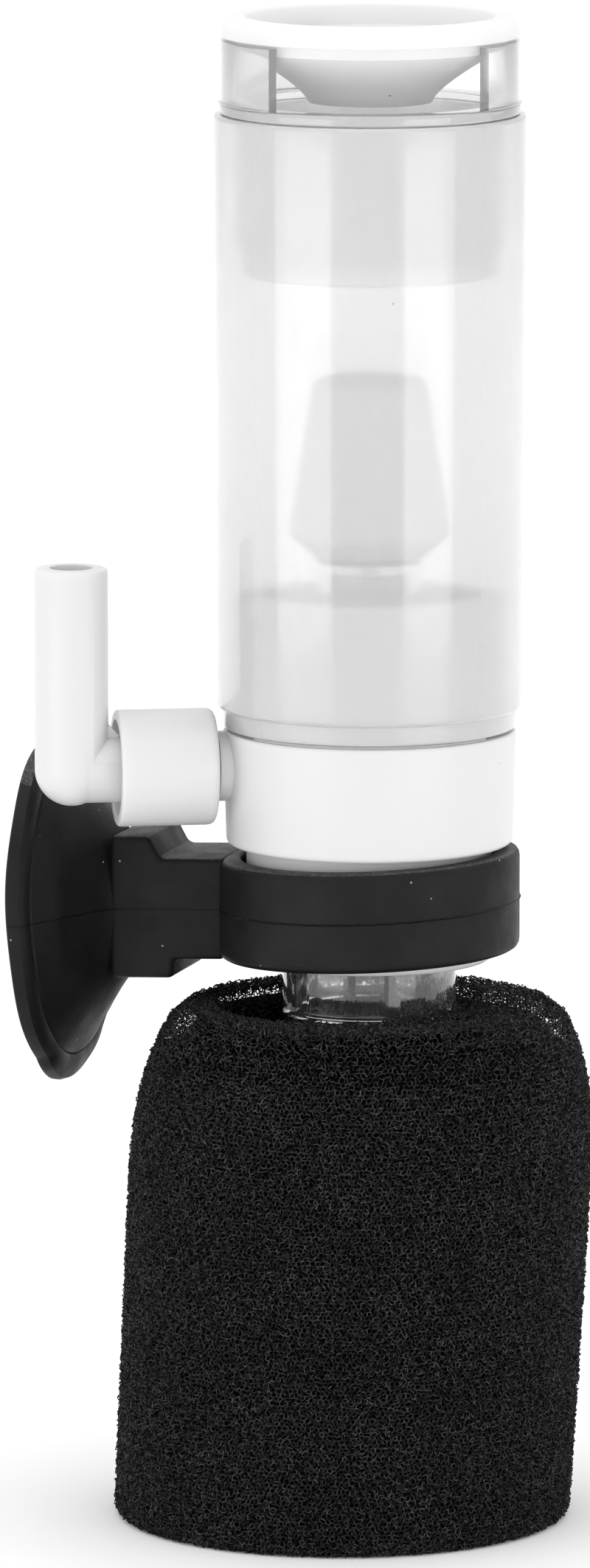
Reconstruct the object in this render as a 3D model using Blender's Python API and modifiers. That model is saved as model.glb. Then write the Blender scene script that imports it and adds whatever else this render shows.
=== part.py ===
"""Air-driven sponge filter for a small aquarium.

A clear tube with an outlet cap stands on a white base. An air stone on the base's nipple lifts the
water, which the foam sponge filters below. An elbow feeds the air in, and a rubber clip with a
suction cup holds the base. Metres, +Z up. The origin is on the tube's axis, at the height of the
sponge's flat bottom. The clip's arm points along -X.
"""

import math

import bmesh
import bpy
from mathutils import Matrix, Vector

MM = 0.001
GAP = 0.3 * MM  # between neighbouring pieces
REACH = 1.0 * MM  # how far a cutting or joining shape runs on
CHAMFER = 0.3 * MM
STEPS = 36  # facets round a large turned piece
FINE_STEPS = 20  # facets round a small one
WEDGE_START = 1.5 * MM  # how near the axis a wedge begins

# Foam sponge
SPONGE_HEIGHT = 50.3 * MM
SPONGE_R = 22.3 * MM
SPONGE_FOOT_R = 22.0 * MM
SPONGE_EDGE = 1.2 * MM  # rounding at the bottom edge
SPONGE_RIM = 0.6 * MM  # and at the top one
SPONGE_SHOULDER_Z = 32.0 * MM  # where the side starts to draw in
SPONGE_SHOULDER_DROP = 3.9 * MM  # how far it has drawn in at the top
SPONGE_SHOULDER_RINGS = 6
SPONGE_LEAN = 2.65 * MM  # how far the bottom lies off the axis
SPONGE_LEAN_AZIMUTH = math.radians(196)
SPONGE_MOUTH_R = 11.9 * MM
SPONGE_MOUTH_SHIFT = 3.3 * MM  # the mouth is stretched to the lean's side
SPONGE_MOUTH_DEPTH = 11.0 * MM

# Clear strainer core
CORE_R = 8.4 * MM
CORE_WALL = 1.2 * MM
CORE_BOTTOM_Z = 8.0 * MM
CORE_TOP_Z = 63.6 * MM
SLOT_TOP_Z = 49.6 * MM
SLOT_BOTTOM_Z = 12.0 * MM
SLOT_BAND = 2.4 * MM  # solid ring between the two rows of slots
SLOT_WIDTH = 2.6 * MM
SLOT_COUNT = 12
SLOT_TURN = math.radians(16)

# White base: spigot, cup and inlet boss
SPIGOT_R = 11.9 * MM
SPIGOT_BOTTOM_Z = 54.9 * MM
SPIGOT_LIP_TOP_Z = 64.2 * MM
CUP_BOTTOM_Z = 66.2 * MM
CUP_TOP_Z = 76.2 * MM
CUP_LOW_R = 13.85 * MM
CUP_TOP_R = 14.15 * MM
CUP_EDGE = 0.6 * MM
SOCKET_FLOOR_Z = 68.6 * MM
WATER_WAY_R = 10.4 * MM
WATER_WAY_CHAMFER = 1.0 * MM

# White riser pressed into the cup
RISER_R = 13.0 * MM
RISER_PLUG_R = 12.3 * MM
RISER_BORE_R = 10.7 * MM
RISER_TOP_Z = 91.0 * MM
LUG_R = 13.55 * MM
LUG_LOW_Z = 76.9 * MM
LUG_HIGH_Z = 77.5 * MM
LUG_HALF_ANGLE = math.radians(55.5)
LUG_AZIMUTHS = [math.radians(-74), math.radians(106)]
NIPPLE_R = 3.7 * MM
NIPPLE_FOOT_Z = 70.9 * MM
NIPPLE_TOP_Z = 92.8 * MM
AIR_BORE_R = 1.3 * MM
SPOKE_R = 2.6 * MM
WEB_THICKNESS = 1.4 * MM
SPOKE_BORE_END = -0.4 * MM  # just past the nipple's own bore

# Air stone and its stem
STEM_COLLAR_R = 5.2 * MM
STEM_BOTTOM_Z = 91.3 * MM
STEM_COLLAR_TOP_Z = 94.2 * MM
STEM_PIN_R = 2.0 * MM
STEM_TOP_Z = 103.6 * MM
STEM_BORE_R = 0.9 * MM
STONE_FOOT_R = 5.25 * MM
STONE_BELLY_R = 7.75 * MM
STONE_BELLY_Z = 96.4 * MM
STONE_TOP_R = 5.4 * MM
STONE_TOP_Z = 111.3 * MM
STONE_EDGE = 0.7 * MM
STONE_BELLY_EDGE = 0.2 * MM

# Clear tube
TUBE_TOP_R = 15.05 * MM
TUBE_LOW_R = 14.8 * MM
TUBE_BORE_R = 13.4 * MM
TUBE_TOP_Z = 137.0 * MM
TUBE_STEP_Z = 79.5 * MM
TUBE_FOOT_R = 14.2 * MM
TUBE_FOOT_Z = 77.8 * MM
TUBE_EDGE = 0.4 * MM

# Outlet cap: a clear cage and a white deflector on top
FLANGE_R = 14.5 * MM
FLANGE_TOP_Z = 138.1 * MM
SKIRT_R = 13.1 * MM
SKIRT_BORE_R = 11.9 * MM
SKIRT_STEP_Z = 124.3 * MM
SKIRT_LIP_R = 12.5 * MM
SKIRT_BOTTOM_Z = 121.6 * MM
CAGE_R = 14.35 * MM
CAGE_BORE_R = 13.3 * MM
CAGE_TOP_Z = 144.1 * MM
WINDOW_HALF_ANGLE = math.radians(47)
WINDOW_AZIMUTHS = [math.radians(-69.5), math.radians(80)]
CROWN_BOTTOM_Z = CAGE_TOP_Z + GAP
CROWN_TOP_Z = 146.45 * MM
CROWN_EDGE = 0.9 * MM  # rounding of its shoulder, across
CROWN_EDGE_HEIGHT = 1.5 * MM
CROWN_TOP_R = 12.9 * MM
FUNNEL_RIM_R = 13.0 * MM
FUNNEL_RIM_Z = 143.3 * MM
FUNNEL_FOOT_R = 5.95 * MM
FUNNEL_FOOT_Z = 138.1 * MM
FUNNEL_FLARE = 1.38
FUNNEL_WALL = 1.1 * MM

# Air inlet, along its own horizontal axis
INLET_Z = 73.9 * MM
INLET_AZIMUTH = math.radians(204)
BOSS_R = 3.4 * MM
BOSS_END = 14.9 * MM  # from the tube's axis
BOSS_PIN_R = 2.8 * MM
BOSS_PIN_END = 20.0 * MM
COUPLING_R = 5.65 * MM
COUPLING_START = 15.2 * MM
COUPLING_END = 24.7 * MM
COUPLING_EDGE = 0.8 * MM
COUPLING_SEAT = 20.3 * MM  # where the bore widens for the elbow
COUPLING_RECESS_R = 4.6 * MM
COUPLING_RECESS_DEPTH = 0.9 * MM
ELBOW_LEG_R = 3.3 * MM
ELBOW_R = 3.55 * MM
ELBOW_START = 20.7 * MM
ELBOW_CORNER = 29.0 * MM
ELBOW_TOP_Z = 93.5 * MM
ELBOW_BORE_R = 2.1 * MM
FACET_HALF = 0.7 * MM  # the small facet in the elbow's inner corner
FACET_HALF_WIDTH = 1.1 * MM
RING_SEAT = 22.4 * MM
RING_SECTION_R = 0.5 * MM
RING_R = 3.05 * MM
RING_GROOVE_R = 2.3 * MM
RING_GROOVE_WIDTH = 1.6 * MM

# Rubber clip with its suction cup
CLIP_Z = 60.3 * MM
CLIP_TILT = math.radians(-2.4)
CLIP_R = 14.55 * MM
CLIP_BORE_R = 12.45 * MM
CLIP_HEIGHT = 9.75 * MM
CLIP_EDGE = 0.9 * MM
ARM_START = 13.1 * MM
ARM_WIDTH = 10.9 * MM
ARM_HEIGHT = 9.9 * MM
ARM_EDGE = 0.4 * MM
PAD_START = 18.7 * MM  # the arm's taller end, behind the suction cup
PAD_END = 24.6 * MM
PAD_HEIGHT = 14.4 * MM
BELL_START = 25.7 * MM
BELL_DROOP = math.radians(-3)
BELL_DEPTH = 6.2 * MM
BELL_R = 16.5 * MM
BELL_ROOT = -1.8 * MM  # depth at which the flare starts, inside the pad
BELL_ROOT_R = 5.3 * MM
FLARE_POWER = 0.75
BELL_LIP = 1.5 * MM
BELL_MOUTH_R = 14.8 * MM
BELL_DOME = 1.9 * MM  # rubber behind the cup's hollow, at its middle
TAB_WIDTH = 6.0 * MM
TAB_THICKNESS = 1.5 * MM
TAB_LENGTH = 0.8 * MM
TAB_ROOT = 2.0 * MM  # how far the tab runs into the cup
TAB_SET_BACK = 0.2 * MM

WHITE = (0.88, 0.88, 0.87, 1.0)
CLEAR = (0.86, 0.88, 0.89, 1.0)
STONE_GREY = (0.72, 0.72, 0.71, 1.0)
RUBBER_BLACK = (0.025, 0.025, 0.026, 1.0)
FOAM_BLACK = (0.012, 0.012, 0.013, 1.0)


def clear_scene():
    for obj in list(bpy.data.objects):
        bpy.data.objects.remove(obj)


def collection(name):
    made = bpy.data.collections.new(name)
    bpy.context.scene.collection.children.link(made)
    return made


def material(name, colour, roughness, transmission=0.0):
    made = bpy.data.materials.new(name)
    made.use_nodes = True
    shader = made.node_tree.nodes["Principled BSDF"]
    shader.inputs["Base Color"].default_value = colour
    shader.inputs["Roughness"].default_value = roughness
    shader.inputs["Metallic"].default_value = 0.0
    shader.inputs["Transmission Weight"].default_value = transmission
    return made


def part(name, mesh, look, frame=None):
    """A piece of the object: its node, its material and the empty it hangs on, if any."""
    obj = bpy.data.objects.new(name, mesh)
    parts.objects.link(obj)
    obj.parent = frame
    if not mesh.materials:
        mesh.materials.append(look)
    return obj


def tool(name, mesh, frame=None):
    """A shape that cuts a piece, or is joined to one."""
    obj = bpy.data.objects.new(name, mesh)
    cutters.objects.link(obj)
    obj.parent = frame
    obj.hide_render = True
    obj.display_type = "WIRE"
    return obj


def combine(obj, other, operation):
    modifier = obj.modifiers.new(other.name, "BOOLEAN")
    modifier.operation = operation
    modifier.object = other


def cut(obj, *others):
    for other in others:
        combine(obj, other, "DIFFERENCE")


def join(obj, *others):
    for other in others:
        combine(obj, other, "UNION")


def bevel(obj, width, segments=1, angle=40):
    modifier = obj.modifiers.new("Rounded edges", "BEVEL")
    modifier.width = width
    modifier.segments = segments
    modifier.limit_method = "ANGLE"
    modifier.angle_limit = math.radians(angle)


def arc(centre_r, centre_z, radius, start, end, count=4):
    """Points of a round stretch, in degrees from +X towards +Z, with both ends."""
    angles = [math.radians(start + (end - start) * i / (count - 1)) for i in range(count)]
    return [(centre_r + radius * math.cos(a), centre_z + radius * math.sin(a)) for a in angles]


def outline_mesh(name, outline, closed=True):
    """A profile in the XZ plane. Its outer side runs down."""
    mesh = bpy.data.meshes.new(name)
    edges = [(i, i + 1) for i in range(len(outline) - 1)]
    if closed:
        edges.append((len(outline) - 1, 0))
    mesh.from_pydata([(r, 0.0, z) for r, z in outline], edges, [])
    return mesh


def turn(obj, steps=STEPS):
    modifier = obj.modifiers.new("Turned", "SCREW")
    modifier.steps = steps
    modifier.render_steps = steps
    modifier.use_merge_vertices = True
    modifier.merge_threshold = 0.01 * MM
    return obj


def cylinder_mesh(name, radius, start, end, steps=FINE_STEPS):
    """A cylinder on the Z axis from start to end."""
    mesh = bpy.data.meshes.new(name)
    bm = bmesh.new()
    bmesh.ops.create_cone(
        bm,
        cap_ends=True,
        segments=steps,
        radius1=radius,
        radius2=radius,
        depth=end - start,
        matrix=Matrix.Translation((0, 0, (start + end) / 2)),
    )
    bm.to_mesh(mesh)
    bm.free()
    return mesh


def box_mesh(name, low, high, turns=(0.0,)):
    """A box between two corners, and its copies turned about Z by each of the angles."""
    low, high = Vector(low), Vector(high)
    size = Matrix.Diagonal((*(high - low), 1))
    mesh = bpy.data.meshes.new(name)
    bm = bmesh.new()
    for angle in turns:
        place = Matrix.Rotation(angle, 4, "Z") @ Matrix.Translation((low + high) / 2) @ size
        bmesh.ops.create_cube(bm, size=1, matrix=place)
    bm.to_mesh(mesh)
    bm.free()
    return mesh


def wedge_mesh(name, half_angle, reach, low_z, high_z, azimuths):
    """Wedges that open outwards from near the axis, one at each azimuth."""
    mesh = bpy.data.meshes.new(name)
    bm = bmesh.new()
    start = WEDGE_START
    for azimuth in azimuths:
        size = Matrix.Diagonal((reach - start, 1, high_z - low_z, 1))
        place = Matrix.Translation(((reach + start) / 2, 0, (low_z + high_z) / 2))
        corners = bmesh.ops.create_cube(bm, size=1, matrix=place @ size)["verts"]
        for corner in corners:
            corner.co.y = math.copysign(corner.co.x * math.tan(half_angle), corner.co.y)
        bmesh.ops.rotate(bm, verts=corners, matrix=Matrix.Rotation(azimuth, 3, "Z"))
    bm.to_mesh(mesh)
    bm.free()
    return mesh


def smooth(obj, angle=35):
    """Round faces shaded smooth, with sharp edges kept."""
    obj.data.shade_smooth()
    modifier = obj.modifiers.get("Turned")
    if modifier is not None:
        modifier.use_smooth_shade = True
    obj.data.set_sharp_from_angle(angle=math.radians(angle))


def sponge_side(z):
    """The sponge's radius at a height."""
    if z < SPONGE_SHOULDER_Z:
        return SPONGE_FOOT_R + (SPONGE_R - SPONGE_FOOT_R) * z / SPONGE_SHOULDER_Z
    t = (z - SPONGE_SHOULDER_Z) / (SPONGE_HEIGHT - SPONGE_SHOULDER_Z)
    return SPONGE_R - SPONGE_SHOULDER_DROP * t**3


def leant(mesh):
    """Leans a mesh, so that its foot lies off the axis and its top stays on it."""
    slope = SPONGE_LEAN / SPONGE_HEIGHT
    away = Vector((math.cos(SPONGE_LEAN_AZIMUTH), math.sin(SPONGE_LEAN_AZIMUTH)))
    for vertex in mesh.vertices:
        vertex.co.xy += away * slope * (SPONGE_HEIGHT - vertex.co.z)


def mouth_mesh():
    """The sponge's wide mouth: a cone whose top is shifted to one side."""
    mesh = cylinder_mesh("sponge_mouth", CORE_R + GAP, SPONGE_HEIGHT - SPONGE_MOUTH_DEPTH,
                         SPONGE_HEIGHT + GAP, STEPS)
    away = Vector((math.cos(SPONGE_LEAN_AZIMUTH), math.sin(SPONGE_LEAN_AZIMUTH)))
    for vertex in mesh.vertices:
        if vertex.co.z > SPONGE_HEIGHT:
            vertex.co.xy *= SPONGE_MOUTH_R / (CORE_R + GAP)
            vertex.co.xy += away * SPONGE_MOUTH_SHIFT
    return mesh


def make_sponge(look):
    outline = [(0.0, SPONGE_HEIGHT), (sponge_side(SPONGE_HEIGHT) - SPONGE_RIM, SPONGE_HEIGHT)]
    shoulder = SPONGE_HEIGHT - SPONGE_RIM - SPONGE_SHOULDER_Z
    for i in range(SPONGE_SHOULDER_RINGS + 1):
        z = SPONGE_HEIGHT - SPONGE_RIM - shoulder * (i / SPONGE_SHOULDER_RINGS) ** 1.4
        outline.append((sponge_side(z), z))
    foot = SPONGE_FOOT_R - SPONGE_EDGE
    outline += arc(foot, SPONGE_EDGE, SPONGE_EDGE, 0, -90) + [(0.0, 0.0)]
    guide = turn(tool("sponge_block", outline_mesh("sponge_block", outline, closed=False)))
    depsgraph = bpy.context.evaluated_depsgraph_get()
    block = bpy.data.meshes.new_from_object(guide.evaluated_get(depsgraph))
    bpy.data.objects.remove(guide)
    leant(block)
    sponge = part("sponge", block, look)
    bore = cylinder_mesh("sponge_bore", CORE_R + GAP, CORE_BOTTOM_Z - GAP, SPONGE_HEIGHT, STEPS)
    cut(sponge, tool("sponge_bore", bore), tool("sponge_mouth", mouth_mesh()))
    return sponge


def make_strainer(look):
    inner = CORE_R - CORE_WALL
    floor = CORE_BOTTOM_Z + CORE_WALL
    outline = [
        (0.0, floor),
        (inner, floor),
        (inner, CORE_TOP_Z),
        (CORE_R, CORE_TOP_Z),
        (CORE_R, CORE_BOTTOM_Z),
        (0.0, CORE_BOTTOM_Z),
    ]
    core = turn(part("strainer_core", outline_mesh("strainer_core", outline, False), look))
    middle = (SLOT_TOP_Z + SLOT_BOTTOM_Z) / 2
    turns = [SLOT_TURN + math.tau * i / SLOT_COUNT for i in range(SLOT_COUNT)]
    for name, low, high in (
        ("slots_low", SLOT_BOTTOM_Z, middle - SLOT_BAND / 2),
        ("slots_high", middle + SLOT_BAND / 2, SLOT_TOP_Z),
    ):
        low_corner = (inner - REACH, -SLOT_WIDTH / 2, low)
        high_corner = (CORE_R + REACH, SLOT_WIDTH / 2, high)
        cut(core, tool(name, box_mesh(name, low_corner, high_corner, turns)))
    return core


def inlet_frame():
    """An empty on the inlet's axis: its Z points out along the inlet, its X points up."""
    out = Vector((math.cos(INLET_AZIMUTH), math.sin(INLET_AZIMUTH), 0))
    up = Vector((0, 0, 1))
    frame = bpy.data.objects.new("inlet_axis", None)
    parts.objects.link(frame)
    frame.matrix_world = (
        Matrix.Translation((0, 0, INLET_Z)) @ Matrix((up, out.cross(up), out)).transposed().to_4x4()
    )
    return frame


def upright_frame(inlet):
    """An empty at the elbow's corner, upright on the inlet's one."""
    frame = bpy.data.objects.new("elbow_upright", None)
    parts.objects.link(frame)
    frame.parent = inlet
    frame.location = (0, 0, ELBOW_CORNER)
    frame.rotation_euler = (0, math.pi / 2, 0)
    return frame


def make_base_cup(look, inlet):
    outline = [
        (SPIGOT_R - CUP_EDGE, SPIGOT_BOTTOM_Z),
        (CORE_R + GAP, SPIGOT_BOTTOM_Z),
        (CORE_R + GAP, SPIGOT_LIP_TOP_Z),
        (WATER_WAY_R, SPIGOT_LIP_TOP_Z + WATER_WAY_CHAMFER),
        (WATER_WAY_R, SOCKET_FLOOR_Z),
        (RISER_PLUG_R + GAP, SOCKET_FLOOR_Z),
        (RISER_PLUG_R + GAP, CUP_TOP_Z),
    ]
    outline += arc(CUP_TOP_R - CUP_EDGE, CUP_TOP_Z - CUP_EDGE, CUP_EDGE, 90, 0)
    outline += arc(CUP_LOW_R - CUP_EDGE, CUP_BOTTOM_Z + CUP_EDGE, CUP_EDGE, 0, -90)
    outline += [(SPIGOT_R, CUP_BOTTOM_Z), (SPIGOT_R, SPIGOT_BOTTOM_Z + CUP_EDGE)]
    cup = turn(part("base_cup", outline_mesh("base_cup", outline), look))
    start = RISER_PLUG_R + REACH
    boss = cylinder_mesh("boss", BOSS_R, start, BOSS_END)
    pin = cylinder_mesh("boss_pin", BOSS_PIN_R, start, BOSS_PIN_END)
    join(cup, tool("boss", boss, inlet), tool("boss_pin", pin, inlet))
    bore = cylinder_mesh("boss_bore", AIR_BORE_R, RISER_PLUG_R - REACH, BOSS_PIN_END + REACH)
    cut(cup, tool("boss_bore", bore, inlet))
    return cup


def make_riser(look, inlet):
    outline = [
        (RISER_BORE_R, RISER_TOP_Z),
        (RISER_R, RISER_TOP_Z),
        (RISER_R, CUP_TOP_Z + GAP),
        (RISER_PLUG_R, CUP_TOP_Z + GAP),
        (RISER_PLUG_R, SOCKET_FLOOR_Z + GAP),
        (RISER_BORE_R, SOCKET_FLOOR_Z + GAP),
    ]
    riser = turn(part("riser", outline_mesh("riser", outline), look))
    lugs = [(RISER_BORE_R + REACH, LUG_HIGH_Z), (LUG_R, LUG_HIGH_Z), (LUG_R, LUG_LOW_Z),
            (RISER_BORE_R + REACH, LUG_LOW_Z)]
    lug_ring = turn(tool("lug_ring", outline_mesh("lug_ring", lugs)))
    sectors = wedge_mesh("lug_sectors", LUG_HALF_ANGLE, 2 * LUG_R, LUG_LOW_Z - GAP,
                         LUG_HIGH_Z + GAP, LUG_AZIMUTHS)
    combine(lug_ring, tool("lug_sectors", sectors), "INTERSECT")
    nipple = tool("nipple", cylinder_mesh("nipple", NIPPLE_R, NIPPLE_FOOT_Z, NIPPLE_TOP_Z))
    reach = RISER_BORE_R + REACH / 2
    spoke = tool("spoke", cylinder_mesh("spoke", SPOKE_R, 0.0, reach), inlet)
    third = math.tau / 3
    webs = box_mesh("webs", (NIPPLE_R - REACH, -WEB_THICKNESS / 2, NIPPLE_FOOT_Z + GAP),
                    (reach, WEB_THICKNESS / 2, CUP_TOP_Z - GAP),
                    [INLET_AZIMUTH + third, INLET_AZIMUTH - third])
    join(riser, lug_ring, nipple, spoke, tool("webs", webs))
    rise = cylinder_mesh("nipple_bore", AIR_BORE_R, INLET_Z, NIPPLE_TOP_Z + REACH)
    inwards = cylinder_mesh("spoke_bore", AIR_BORE_R, SPOKE_BORE_END, RISER_R + REACH, 16)
    cut(riser, tool("nipple_bore", rise), tool("spoke_bore", inwards, inlet))
    return riser


def make_stone_stem(look):
    pocket_r = NIPPLE_R + GAP
    pocket_top = NIPPLE_TOP_Z + GAP
    outline = [
        (STEM_BORE_R, STEM_TOP_Z),
        (STEM_PIN_R, STEM_TOP_Z),
        (STEM_PIN_R, STEM_COLLAR_TOP_Z),
        (STEM_COLLAR_R, STEM_COLLAR_TOP_Z),
        (STEM_COLLAR_R, STEM_BOTTOM_Z),
        (pocket_r, STEM_BOTTOM_Z),
        (pocket_r, pocket_top),
        (STEM_BORE_R, pocket_top),
    ]
    return turn(part("stone_stem", outline_mesh("stone_stem", outline), look), FINE_STEPS)


def make_air_stone(look):
    bottom = STEM_COLLAR_TOP_Z + GAP
    bore = STEM_PIN_R + GAP
    bore_top = STEM_TOP_Z + GAP
    outline = [(0.0, STONE_TOP_Z)]
    outline += arc(STONE_TOP_R - STONE_EDGE, STONE_TOP_Z - STONE_EDGE, STONE_EDGE, 90, 10)
    outline += [
        (STONE_BELLY_R, STONE_BELLY_Z + STONE_BELLY_EDGE),
        (STONE_BELLY_R - STONE_BELLY_EDGE, STONE_BELLY_Z - STONE_BELLY_EDGE),
        (STONE_FOOT_R, bottom),
        (bore, bottom),
        (bore, bore_top),
        (0.0, bore_top),
    ]
    return turn(part("air_stone", outline_mesh("air_stone", outline, False), look))


def make_clear_tube(look):
    outline = [
        (TUBE_BORE_R, TUBE_TOP_Z),
        (TUBE_TOP_R - TUBE_EDGE, TUBE_TOP_Z),
        (TUBE_TOP_R, TUBE_TOP_Z - TUBE_EDGE),
    ]
    outline += arc(TUBE_LOW_R - TUBE_EDGE, TUBE_STEP_Z + TUBE_EDGE, TUBE_EDGE, 0, -90, 3)
    outline += [
        (TUBE_FOOT_R, TUBE_STEP_Z),
        (TUBE_FOOT_R, TUBE_FOOT_Z + TUBE_EDGE),
        (TUBE_FOOT_R - TUBE_EDGE, TUBE_FOOT_Z),
        (TUBE_BORE_R, TUBE_FOOT_Z),
    ]
    return turn(part("clear_tube", outline_mesh("clear_tube", outline), look))


def make_outlet_cage(look):
    outline = [
        (CAGE_BORE_R, CAGE_TOP_Z),
        (CAGE_R, CAGE_TOP_Z),
        (CAGE_R, FLANGE_TOP_Z),
        (FLANGE_R, FLANGE_TOP_Z),
        (FLANGE_R, TUBE_TOP_Z + GAP),
        (SKIRT_R, TUBE_TOP_Z + GAP),
        (SKIRT_R, SKIRT_STEP_Z),
        (SKIRT_LIP_R, SKIRT_STEP_Z),
        (SKIRT_LIP_R, SKIRT_BOTTOM_Z),
        (SKIRT_BORE_R, SKIRT_BOTTOM_Z),
        (SKIRT_BORE_R, FLANGE_TOP_Z),
        (CAGE_BORE_R, FLANGE_TOP_Z),
    ]
    cage = turn(part("outlet_cage", outline_mesh("outlet_cage", outline), look))
    windows = wedge_mesh("windows", WINDOW_HALF_ANGLE, 2 * CAGE_R, FLANGE_TOP_Z,
                         CAGE_TOP_Z + REACH, WINDOW_AZIMUTHS)
    cut(cage, tool("windows", windows))
    return cage


def funnel_side(t):
    """The funnel's flared side: t runs from 0 at the rim to 1 at the foot."""
    z = FUNNEL_RIM_Z + (FUNNEL_FOOT_Z - FUNNEL_RIM_Z) * t
    return FUNNEL_FOOT_R + (FUNNEL_RIM_R - FUNNEL_FOOT_R) * (1 - t) ** FUNNEL_FLARE, z


def make_deflector_cap(look):
    side = [funnel_side(i / 5) for i in range(6)]
    bowl = [(r - FUNNEL_WALL, z + FUNNEL_WALL) for r, z in reversed(side)]
    lip = CROWN_TOP_R + CHAMFER
    outline = [(0.0, bowl[0][1])] + bowl
    outline += [(CROWN_TOP_R, CROWN_TOP_Z - CHAMFER), (lip, CROWN_TOP_Z)]
    shoulder = arc(0.0, 0.0, 1.0, 90, 0, 5)
    outline += [(CAGE_R - CROWN_EDGE * (1 - x), CROWN_TOP_Z - CROWN_EDGE_HEIGHT * (1 - y))
                for x, y in shoulder]
    outline += [(CAGE_R, CROWN_BOTTOM_Z), (FUNNEL_RIM_R, CROWN_BOTTOM_Z)] + side
    outline.append((0.0, side[-1][1]))
    return turn(part("deflector_cap", outline_mesh("deflector_cap", outline, False), look))


def make_inlet_coupling(look, inlet):
    outline = [
        (BOSS_PIN_R + GAP, COUPLING_SEAT),
        (BOSS_PIN_R + GAP, COUPLING_START),
    ]
    outline += arc(COUPLING_R - COUPLING_EDGE, COUPLING_START + COUPLING_EDGE, COUPLING_EDGE, -90, 0, 3)
    outline += [
        (COUPLING_R, COUPLING_END - CHAMFER),
        (COUPLING_R - CHAMFER, COUPLING_END),
        (COUPLING_RECESS_R, COUPLING_END),
        (COUPLING_RECESS_R, COUPLING_END - COUPLING_RECESS_DEPTH),
        (ELBOW_R + GAP, COUPLING_END - COUPLING_RECESS_DEPTH),
        (ELBOW_R + GAP, COUPLING_SEAT),
    ]
    mesh = outline_mesh("inlet_coupling", outline[::-1])
    return turn(part("inlet_coupling", mesh, look, inlet), 28)


def make_air_elbow(look, inlet):
    leg = [
        (0.0, ELBOW_CORNER),
        (ELBOW_LEG_R, ELBOW_CORNER),
        (ELBOW_LEG_R, RING_SEAT + RING_GROOVE_WIDTH / 2),
        (RING_GROOVE_R, RING_SEAT + RING_GROOVE_WIDTH / 2),
        (RING_GROOVE_R, RING_SEAT - RING_GROOVE_WIDTH / 2),
        (ELBOW_LEG_R, RING_SEAT - RING_GROOVE_WIDTH / 2),
        (ELBOW_LEG_R, ELBOW_START),
        (0.0, ELBOW_START),
    ]
    elbow = turn(part("air_elbow", outline_mesh("air_elbow", leg, False), look, inlet), FINE_STEPS)
    upright = upright_frame(inlet)
    rise = ELBOW_TOP_Z - INLET_Z
    pipe = [(0.0, rise), (ELBOW_R - CHAMFER, rise), (ELBOW_R, rise - CHAMFER)]
    pipe += arc(0.0, 0.0, ELBOW_R, 0, -90, 6)[:-1] + [(0.0, -ELBOW_R)]
    pipe_tool = turn(tool("elbow_pipe", outline_mesh("elbow_pipe", pipe, False), upright), FINE_STEPS)
    half = Vector((FACET_HALF, FACET_HALF_WIDTH, FACET_HALF))
    facet = tool("elbow_facet", box_mesh("elbow_facet", -half, half), inlet)
    facet.location = (ELBOW_LEG_R, 0, ELBOW_CORNER - ELBOW_R)
    facet.rotation_euler = (0, math.pi / 4, 0)
    join(elbow, pipe_tool, facet)
    along = cylinder_mesh("leg_bore", ELBOW_BORE_R, ELBOW_START - REACH, ELBOW_CORNER, 16)
    upwards = cylinder_mesh("pipe_bore", ELBOW_BORE_R, -REACH, rise + REACH, 16)
    cut(elbow, tool("leg_bore", along, inlet), tool("pipe_bore", upwards, upright))
    return elbow


def make_elbow_ring(look, inlet):
    outline = arc(RING_R, RING_SEAT, RING_SECTION_R, 0, -315, 8)
    mesh = outline_mesh("elbow_seal_ring", outline)
    return turn(part("elbow_seal_ring", mesh, look, inlet), FINE_STEPS)


def bell_outline():
    """The suction cup's section: a flare outside, a shallow dome inside."""
    flare = []
    for i in range(7):
        across = i / 6
        depth = BELL_ROOT + (BELL_DEPTH - BELL_LIP - BELL_ROOT) * across ** FLARE_POWER
        flare.append((BELL_ROOT_R + (BELL_R - BELL_ROOT_R) * across, depth))
    dome = []
    for i in range(6):
        a = math.pi / 2 * i / 5
        depth = (BELL_DEPTH - BELL_DOME) * math.cos(a)
        dome.append((BELL_MOUTH_R * math.sin(a), BELL_DEPTH - depth))
    outline = dome + [(BELL_R, BELL_DEPTH)] + flare[::-1]
    return outline + [(0.0, BELL_ROOT)]


def arm_mesh():
    """The arm with its taller end, which is flush with it in front and behind."""
    upper = [(-ARM_START, ARM_HEIGHT / 2), (-PAD_START, ARM_HEIGHT / 2), (-PAD_START, PAD_HEIGHT / 2),
             (-PAD_END, PAD_HEIGHT / 2)]
    outline = upper + [(x, -z) for x, z in reversed(upper)]
    bm = bmesh.new()
    front = bm.faces.new([bm.verts.new((x, -ARM_WIDTH / 2, z)) for x, z in outline])
    swept = bmesh.ops.extrude_face_region(bm, geom=[front])["geom"]
    back = [item for item in swept if isinstance(item, bmesh.types.BMVert)]
    bmesh.ops.translate(bm, verts=back, vec=(0, ARM_WIDTH, 0))
    bmesh.ops.recalc_face_normals(bm, faces=bm.faces)
    mesh = bpy.data.meshes.new("clip_arm")
    bm.to_mesh(mesh)
    bm.free()
    return mesh


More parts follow.
